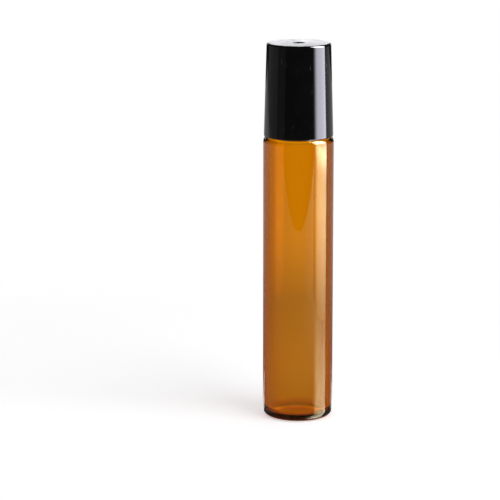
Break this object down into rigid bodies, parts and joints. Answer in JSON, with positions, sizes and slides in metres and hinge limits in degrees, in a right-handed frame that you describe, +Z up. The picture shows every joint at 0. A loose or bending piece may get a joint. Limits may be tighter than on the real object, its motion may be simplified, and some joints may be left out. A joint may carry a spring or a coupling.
{
  "type": "roll on bottle",
  "caption": "Slim amber glass roll-on bottle with a steel ball in a plastic housing plugged into its threaded neck, closed by a tapered black screw cap with a sealing disc.",
  "frame": {"origin": "on the bottle's axis, on the surface that it stands on", "axes": "+Z up along the bottle's axis, from the base to the cap"},
  "size_m": [0.017, 0.017, 0.0915],
  "materials": {
    "amber_glass": "clear drawn amber glass",
    "housing_plastic": "moulded white polyethylene, slightly waxy",
    "ball_steel": "polished stainless steel",
    "cap_plastic": "glossy moulded black plastic",
    "liner_foam": "white foamed polyethylene"
  },
  "bodies": {
    "bottle": {"glass_bottle": "amber_glass", "ball_housing": "housing_plastic"},
    "ball": {"roller_ball": "ball_steel"},
    "liner": {"cap_liner": "liner_foam"},
    "cap": {"screw_cap": "cap_plastic"}
  },
  "joints": [
    {"name": "cap_lift", "type": "slide", "parent": "bottle", "child": "liner", "axis": [0, 0, 1], "range_m": [0, 0.025]},
    {"name": "cap_turn", "type": "hinge", "parent": "liner", "child": "cap", "pos_m": [0, 0, 0.09], "axis": [0, 0, 1], "range_deg": [0, 3600]},
    {"name": "ball_roll", "type": "hinge", "parent": "bottle", "child": "ball", "pos_m": [0, 0, 0.08488], "axis": [1, 0, 0], "continuous": true}
  ],
  "couplings": [
    {"joint": "cap_lift", "follows": "cap_turn", "m_per_rad": 0.00039789}
  ]
}
